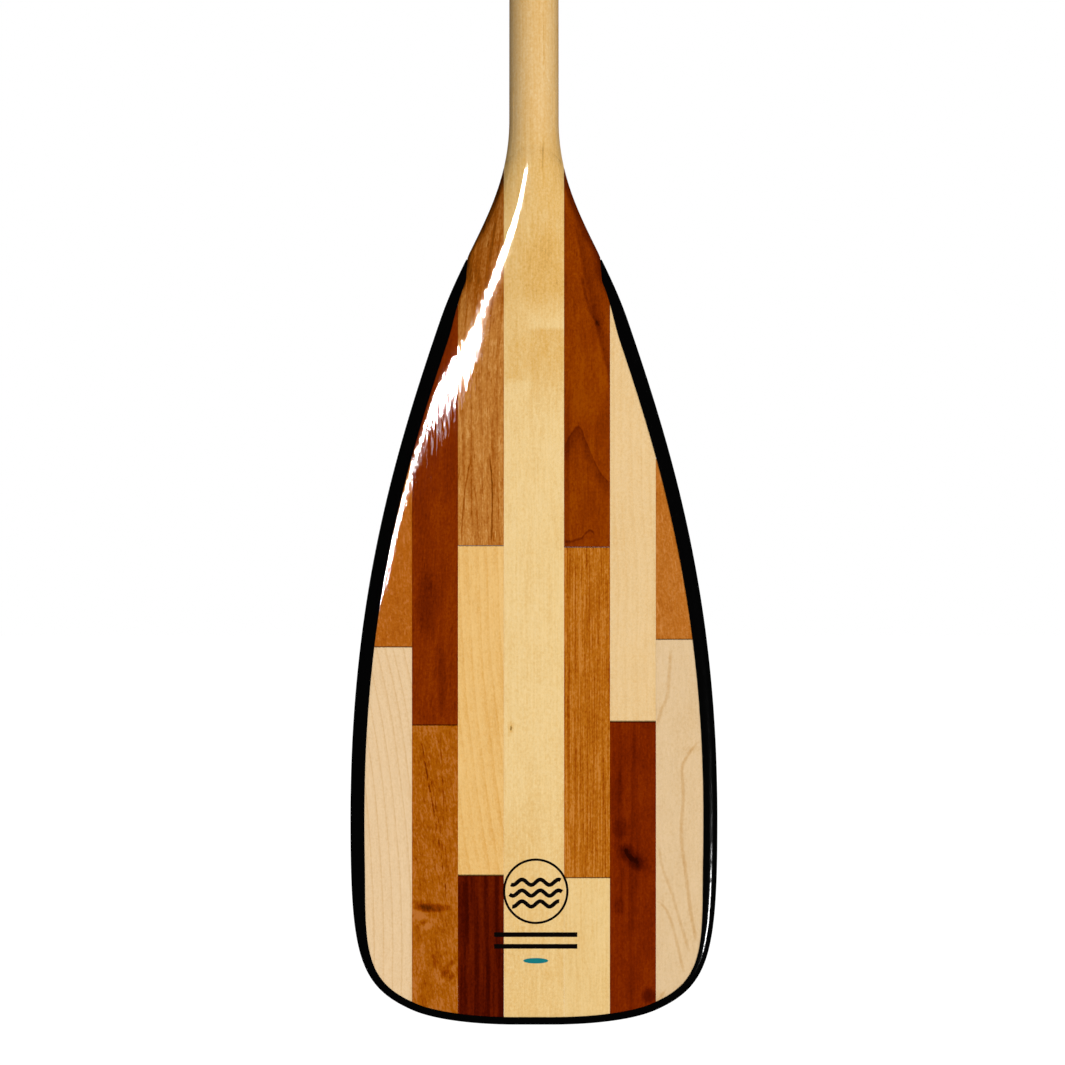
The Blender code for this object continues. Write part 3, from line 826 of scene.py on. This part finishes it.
def cheek_wood(name, seed):
    wood = Board(name, (176, 98, 26), ALDER, seed, slant=0.05, wander=3)
    wood.rings(0.5, 4.5, thin=2.5).fibre(0.3).nap(0.4).blotch(0.4, 9, 20)
    wood.flecks(0.3, share=0.2).flecks(-0.2, 0.7, 0.15, 0.15)
    return wood.varnished()


# === resin, laminate and print ===
RIDGES = 0.050  # height of the brush marks in a skin's surface
PEBBLES = 0.20  # and of its pebbling beside the guard
WAVES = 0.02  # and of its slow waves


def gloss_resin():
    g = Graph("black_resin")
    spot = g.given("TexCoord", "Object")
    waves = g.given("TexNoise", "Fac", Vector=spot, Scale=90, Detail=2)
    dust = g.given("TexNoise", "Fac", Vector=spot, Scale=900, Detail=3)
    return g.surface(Base_Color=g.mix(dust, grey(0.0004), grey(0.0012)), Roughness=0.05 + dust * 0.05,
                     Normal=g.bump(waves + dust * 0.06, 0.00010))


def clear_skin():
    """A thin clear coat: it adds its reflection to whatever is behind it.

    It was brushed on up and down, so it is faintly ridged, more so below the throat. It is pebbled
    beside the guard in the upper half of the blade, and rubbed dull in long streaks.
    """
    g = Graph("clear_laminate")
    x, _, along = g.coordinates()
    inside = g.from_outline(x, along, 200, THROAT)
    beside_guard = g.step(inside, 10, 4) * g.step(along, 215, 250) * g.step(along, 350, 310)
    ridges = g.noise(x * 0.55, along * 0.10, 0, detail=1) * (0.3 + g.step(along, 450, 340) * 1.5)
    pebbles = g.noise(x * 0.6, along * 0.4, 9, detail=1) * g.step(inside, 1.2, 3) * beside_guard
    waves = g.noise(x * 0.12, along * 0.06, 5)
    normal = g.bump(ridges * RIDGES + pebbles * PEBBLES + waves * WAVES, METRE)
    grit = g.step(g.noise(x * 1.1, along * 0.6, 3, roughness=0.7), 0.48, 0.6)
    rubbed = g.step(g.noise(x * 0.8, along * 0.08, 21, detail=1), 0.40, 0.60)
    shine = g.node("BsdfAnisotropic", Color=grey(1), Normal=normal,
                   Roughness=0.05 + grit * beside_guard * 0.06)
    clear = g.node("BsdfTransparent", Color=grey(1))
    fresnel = g.given("Fresnel", IOR=1.5, Normal=normal)
    behind = g.given("NewGeometry", "Backfacing")
    mirrored = fresnel * (0.45 + rubbed * 0.55) * (1 - behind)
    blend = g.node("MixShader")
    g.fill(blend, blend.inputs, (mirrored, clear.outputs[0], shine.outputs[0]))
    return g.finish(blend)


def print_ink(name, colour):
    g = Graph(name)
    x, _, along = g.coordinates()
    tooth = g.noise(x * 2.5, along * 2.5, 0)
    worn = g.mix(tooth * 0.04, colour, from_screen(74, 52, 34))
    return g.surface(Base_Color=worn, Roughness=0.6, Specular_IOR_Level=0)


# === the pieces ===
BLUNT = 0.25  # width of an outer stave's pointed end


def quarter(start, steps):
    """Numbers from start, 0 or -1, up to 1, that get closer together towards 1 and towards -1."""
    return np.sin(np.linspace(start, 1, steps) * math.pi / 2)


def stave_ends(low, high, x):
    """Heights of a stave's ends at x; low or high is None where it ends on the outline."""
    return low + GAP / 2 if low else wood_bottom(x), high - GAP / 2 if high else wood_top(x)


def inner_grid(column, low, high):
    """Places in a stave with two straight long edges."""
    x = np.linspace(STAVE_LINES[column] + GAP / 2, STAVE_LINES[column + 1] - GAP / 2, 25)
    start, end = stave_ends(low, high, x)
    fraction = np.linspace(0, 1, 121) if high else quarter(0, 121)
    return np.broadcast_arrays(x, start + (end - start) * fraction[:, None])


def outer_grid(low, high):
    """Places in a stave with one straight long edge, and one that is the edge of the wood."""
    left = STAVE_LINES[2] + GAP / 2
    start, end = stave_ends(low, high, left + BLUNT)
    inside = WOOD[(WOOD[:, 1] > start + 0.2) & (WOOD[:, 1] < end - 0.2), 1]
    rows = np.concatenate([[start], inside, [end]])
    x = left + (half_width(rows) - left)[:, None] * quarter(0, 25)
    return np.broadcast_arrays(x, rows[:, None])


def build_stave(number, draw_figure, species, tone, grain):
    """One stave of the blade, as wide and as tall as its place in its column."""
    name = draw_figure.__name__
    side, column, part = name.split("_")
    ends = [None, *JOINTS[side, column], None]
    row = COLUMNS[column].index(part)
    low, high = ends[row:row + 2]
    wood = Board(f"{species.slot}_{name}", tone, species, number, **grain)
    draw_figure(wood)
    material = wood.under_skin([end for end in (low, high) if end])
    if column == "outer":
        x, along = outer_grid(low, high)
    else:
        x, along = inner_grid(list(COLUMNS).index(column), low, high)
    wood_slab("stave_" + name, SIDES[side] * x, along, material, species.slot)


SIDE_FLAT = 0.9985  # the boards' sides stop at this part of the oval's half-width
FEATHER = 0.05  # a board stops where it has thinned to this
LAYER_STATIONS = np.concatenate([
    np.arange(5, 66, 3),
    np.arange(66, 560, 2),
    np.arange(560, GRIP_START - 20, 12),
    np.linspace(GRIP_START - 20, GRIP_WIDEST, 40),
    GRIP_WIDEST + (LENGTH - GRIP_WIDEST) * np.sin(np.linspace(0, 0.985, 25) * math.pi / 2)[1:],
])


def layer_reach(floor, along):
    """Half-width over which the wood is deeper than floor, inside the middle column."""
    limit = STAVE_LINES[0] if along < LENGTH / 2 else HALF_SHAFT_WIDTH
    edge = min(limit - GAP / 2, float(half_width(max(along, 2 * TIP_LAND))) * SIDE_FLAT)
    x = np.linspace(0, edge, 400)
    deep = half_depth(x, np.full(x.shape, along)) >= floor
    return float(x[deep][-1])


def shaft_layer(name, level, material):
    """One board of the shaft. level counts boards from the middle one, minus towards the front."""
    floor = max(abs(level) - 0.5, 0) * LAYER + GAP / 2
    ceiling = (abs(level) + 0.5) * LAYER - GAP / 2
    shallowest = floor + FEATHER if level else THINNEST
    climb = np.linspace(WOOD[0, 1], LENGTH - 0.05, 9000)
    deep = climb[half_depth(np.zeros(climb.shape), climb) >= shallowest]
    low, high = float(deep[0]), float(deep[-1])
    inside = LAYER_STATIONS[(LAYER_STATIONS > low + 0.5) & (LAYER_STATIONS < high - 0.2)]
    stations = np.concatenate([[low], inside, [high]])
    reach = np.array([layer_reach(shallowest, station) for station in stations])
    x = reach[:, None] * quarter(-1, 33)
    along = np.maximum(stations[:, None], wood_bottom(x))
    top = np.minimum(half_depth(x, along), ceiling)
    bottom = np.full(x.shape, floor) if level else -top
    near, far = (-top, -bottom) if level < 0 else (bottom, top)
    slab("shaft_layer_" + name, x, along, near, far, material, "basswood")


def edge_guard(material):
    """The moulded rim: a band with a rounded nose, following the outline from throat to throat."""
    guarded = EDGE[:, 1] < GUARD_TOP - 0.8
    outer = EDGE[guarded]
    inner = inset(outer, EDGE_WAY[guarded], -GAP / 2)
    mirror = np.array([-1, 1])
    outer = np.vstack([outer[::-1] * mirror, outer])
    inner = np.vstack([inner[::-1] * mirror, inner])
    across = quarter(0, 15)
    nose = GUARD_NOSE / 2
    root = edge_depth(inner[:, 1:]) + SKIN_OUT
    thick = nose + (root - nose) * np.sqrt(1 - across ** GUARD_ROUND)
    x, along = (start[:, None] + (end - start)[:, None] * across for start, end in zip(inner.T, outer.T))
    return slab("edge_guard", x, along, -thick, thick, material, "black_resin")


def blade_skin(name, side, material):
    """A clear laminate over one face; side is -1 for the front and 1 for the back.

    Its lowest row sags to follow the tip's edge, and the rows above it straighten out.
    """
    rows = WOOD[(WOOD[:, 0] > SKIN_FIRST_ROW) | (WOOD[:, 1] > SKIN_FIRST_ROW)]
    rows = rows[rows[:, 1] < SKIN_TOP - 1]
    rows = np.vstack([rows, [half_width(SKIN_TOP), SKIN_TOP]])
    height = rows[:, 1:]
    reach = rows[:, :1] * (1 - SKIN_PULL_IN * smooth(height, GUARD_TOP - SKIN_FADE, GUARD_TOP))
    flat = np.minimum(FLAT_HALF, reach / 2)
    wing = flat + (reach - flat) * quarter(0, 46)[1:]
    x = np.hstack([-wing[:, ::-1], flat * np.linspace(-1, 1, 15), wing])
    across = x / reach
    sag = height[0] - wood_bottom(across * reach[0])
    arch = SKIN_ARCH * (1 - across ** 2) * smooth(height, GUARD_TOP, SKIN_TOP)
    along = height - sag * (1 - smooth(height, height[0], SKIN_STRAIGHT)) + arch
    depth = half_depth(x, along)
    near, far = sorted((side * SKIN_NEAR, side * SKIN_OUT))
    return slab("blade_skin_" + name, x, along, side * depth + near, side * depth + far, material,
                "clear_laminate", sharp_degrees=60)


def grip_cheek(side):
    """The block glued to one side of the shaft at the top, rounded into a palm grip."""
    first = HALF_SHAFT_WIDTH + GAP / 2
    x = first + (GRIP_HALF_WIDTH - 0.05 - first) * quarter(0, 41)
    start = np.interp(x, FLARE[:, 0], FLARE[:, 1])
    end = np.interp(-x, -CROWN[:, 0], CROWN[:, 1])
    climb = (1 - np.cos(np.linspace(0, 1, 61) * math.pi)) / 2
    along = start + (end - start) * climb[:, None]
    seed = 19 + list(SIDES).index(side)
    wood_slab("grip_cheek_" + side, np.broadcast_to(SIDES[side] * x, along.shape), along,
              cheek_wood("alder_cheek_" + side, seed), "red_alder")


# --- printed emblem: a ring with waves in it, plain bars below, one small coloured oval ---
EMBLEM_X = 1
INK_OUT = 0.03  # in front of the wood
RING_CENTRE = 74
RING_RADIUS = 17.5
RING_LINE, WAVE_LINE, BAR_LINE = 1.3, 2.2, 2.6
WAVE_LEVELS = 5, -1, -7  # above the ring's centre
WAVE_SWELL = 1.5
WAVE_RATE = 0.62  # radians for each mm
WAVE_MARGIN = 3  # between the ends of a wave and the ring
BAR_HEIGHTS = 50, 43.5
BAR_HALF = 23
OVAL_HEIGHT = 35.5
OVAL_HALF = 7


def stroke(x, along, width):
    """The two edges of a pen stroke through points, as rows of (x, along); width may vary along it."""
    points = np.column_stack(np.broadcast_arrays(EMBLEM_X + x, along))
    ways = np.gradient(points, axis=0)
    aside = np.column_stack([-ways[:, 1], ways[:, 0]]) / np.linalg.norm(ways, axis=1)[:, None]
    half = np.reshape(width, (-1, 1)) / 2
    return np.stack([points - aside * half, points + aside * half])


def print_band(name, strokes, material):
    """A printed shape made of pen strokes."""
    faces, first = [], 0
    for edges in strokes:
        count = edges.shape[1]
        faces += squares(first + np.arange(2 * count).reshape(2, count)).tolist()
        first += 2 * count
    x, along = np.concatenate([edges.reshape(-1, 2) for edges in strokes]).T
    depth = -(half_depth(x, along) + INK_OUT)
    make_piece(name, np.column_stack([x, depth, along]), faces, material, "black_resin")


def emblem(ink, accent):
    turn = np.linspace(0, math.tau, 121)
    strokes = [stroke(RING_RADIUS * np.sin(turn), RING_CENTRE + RING_RADIUS * np.cos(turn), RING_LINE)]
    for level in WAVE_LEVELS:
        reach = math.sqrt(RING_RADIUS ** 2 - level ** 2) - WAVE_MARGIN
        x = reach * np.linspace(-1, 1, 61)
        strokes.append(stroke(x, RING_CENTRE + level + WAVE_SWELL * np.sin(x * WAVE_RATE), WAVE_LINE))
    for height in BAR_HEIGHTS:
        strokes.append(stroke(BAR_HALF * np.linspace(-1, 1, 13), height, BAR_LINE))
    print_band("emblem_ring_and_bars", strokes, ink)
    t = np.linspace(-1, 1, 21)
    oval = stroke(OVAL_HALF * t, OVAL_HEIGHT, 3 * np.sqrt(1 - t ** 2) + 0.04)
    print_band("emblem_accent", [oval], accent)


def build_paddle():
    """Every piece; gives back those that have lamps of their own: the guard, and the skins."""
    for number, facts in enumerate(STAVES, 1):
        build_stave(number, *facts)
    front = shaft_board("basswood_front", (235, 203, 149), 15)
    shaft_layer("front_outer", -2, front)
    shaft_layer("front_inner", -1, front)
    shaft_layer("core", 0, shaft_board("basswood_core", (212, 160, 92), 16))
    shaft_layer("back_inner", 1, shaft_board("basswood_back_inner", (228, 184, 116), 17))
    shaft_layer("back_outer", 2, shaft_board("basswood_back_outer", (222, 175, 106), 18))
    guard = edge_guard(gloss_resin())
    laminate = clear_skin()
    skins = (blade_skin("front", -1, laminate), blade_skin("back", 1, laminate))
    for side in SIDES:
        grip_cheek(side)
    emblem(print_ink("ink_black", from_screen(5, 4, 4)), print_ink("ink_teal", from_screen(22, 118, 122)))
    return guard, skins


# === studio, in metres ===
CAMERA_HEIGHT = 0.2724
CAMERA_X = -0.0008
CAMERA_DISTANCE = 3.2
VIEW_WIDTH = 0.5897  # across the picture, at the blade
SENSOR = 36

# A tall strip lamp to the left is mirrored in the skins, and a small low one to the right in the guard.
# Bands of the tall one: nearest and farthest angle from the camera, lower end, and brightness.
STRIP_BANDS = ((27.5, 28.6, 0.58, 240), (26.3, 27.5, 0.27, 240), (21.2, 26.3, 0.467, 240),
               (19.8, 21.2, 0.455, 12), (17.5, 19.8, 0.44, 4))
STRIP_DISTANCE, STRIP_TOP = 4, 0.93
# Bands of the low one: lowest and highest angle, and brightness.
RIM_BANDS = ((-8.1, -3.6, 60), (-3.6, -3, 1))
RIM_DISTANCE, RIM_LEFT, RIM_RIGHT = 2.5, 15.6, 19
RIM_TARGET = (0.097, 0, 0.065)
WORLD_GLOW = 0.30
FRONT_LIGHT = 5.9
BACK_LIGHT = 4


def stand(name, data, start, target):
    """Add a lamp or a camera to the scene at start, looking at target."""
    thing = bpy.data.objects.new(name, data)
    bpy.context.scene.collection.objects.link(thing)
    start, target = Vector(start), Vector(target)
    thing.location = start
    thing.rotation_euler = (target - start).to_track_quat("-Z", "Y").to_euler()
    return thing


def lamp(name, start, target, width, height, radiance, mirrored_in=()):
    """A flat lamp of a given brightness: one that lights everything, or is only seen mirrored in a few."""
    light = bpy.data.lights.new(name, "AREA")
    light.shape = "RECTANGLE"
    light.size = width
    light.size_y = height
    light.energy = radiance * math.pi * width * height
    thing = stand(name, light, start, target)
    thing.visible_camera = False
    thing.visible_diffuse = not mirrored_in
    thing.visible_glossy = bool(mirrored_in)
    thing.visible_transmission = False
    if mirrored_in:
        receivers = bpy.data.collections.new(name + "_receivers")
        for piece in mirrored_in:
            receivers.objects.link(piece)
        thing.light_linking.receiver_collection = receivers


def towards(point, azimuth, elevation, distance):
    """A place seen from point at an angle round from the camera, minus to its left, and upwards."""
    turn, up = math.radians(azimuth), math.radians(elevation)
    aside = (math.sin(turn) * math.cos(up), -math.cos(turn) * math.cos(up), math.sin(up))
    return tuple(start + distance * part for start, part in zip(point, aside))


def light_studio(guard, skins):
    lamp("soft_front", (1.05, -3.45, 0.2), (0, 0, 0.30), 2.6, 2.6, FRONT_LIGHT)
    lamp("soft_back", (0.6, 3.4, 1.6), (0, 0, 0.6), 2.4, 2.4, BACK_LIGHT)
    for number, (near, far, low, radiance) in enumerate(STRIP_BANDS):
        target = (0, 0, (low + STRIP_TOP) / 2)
        start = towards(target, -(near + far) / 2, 0, STRIP_DISTANCE)
        width = STRIP_DISTANCE * math.radians(far - near)
        lamp(f"strip_{number}", start, target, width, STRIP_TOP - low, radiance, skins)
    for number, (low, high, radiance) in enumerate(RIM_BANDS):
        start = towards(RIM_TARGET, (RIM_LEFT + RIM_RIGHT) / 2, (low + high) / 2, RIM_DISTANCE)
        width = RIM_DISTANCE * math.radians(RIM_RIGHT - RIM_LEFT)
        height = RIM_DISTANCE * math.radians(high - low)
        lamp(f"rim_{number}", start, RIM_TARGET, width, height, radiance, (guard,))


def world_light():
    """White behind the paddle, soft grey light on it, and almost nothing to be mirrored."""
    g = Graph("studio", bpy.data.worlds)
    seen, lit, mirrored = (g.given("LightPath", f"Is {kind} Ray")
                           for kind in ("Camera", "Diffuse", "Glossy"))
    strength = seen + lit * WORLD_GLOW + mirrored * 0.01
    background = g.node("Background", Color=grey(1), Strength=strength)
    bpy.context.scene.world = g.finish(background, "OutputWorld")


def pale_floor():
    """A white floor that takes only a trace of shadow."""
    g = Graph("floor")
    white = g.node("Emission", Color=grey(1), Strength=1)
    matt = g.node("BsdfDiffuse", Color=grey(0.10))
    both = g.node("AddShader")
    g.fill(both, both.inputs, (white.outputs[0], matt.outputs[0]))
    mesh = bpy.data.meshes.new("floor")
    reach = 12
    mesh.from_pydata([(-reach, -reach, 0), (reach, -reach, 0), (reach, reach, 0), (-reach, reach, 0)],
                     [], [(0, 1, 2, 3)])
    mesh.materials.append(g.finish(both))
    floor = bpy.data.objects.new("floor", mesh)
    floor.location.z = -0.0005
    bpy.context.scene.collection.objects.link(floor)
    floor.visible_diffuse = False
    floor.visible_glossy = False
    floor.visible_transmission = False
    floor.visible_shadow = False


def set_camera():
    data = bpy.data.cameras.new("camera")
    data.sensor_width = SENSOR
    data.lens = SENSOR * CAMERA_DISTANCE / VIEW_WIDTH
    start = (CAMERA_X, -CAMERA_DISTANCE, CAMERA_HEIGHT)
    bpy.context.scene.camera = stand("camera", data, start, (CAMERA_X, 0, CAMERA_HEIGHT))
    bpy.context.scene.view_settings.view_transform = "Standard"


light_studio(*build_paddle())
world_light()
pale_floor()
set_camera()
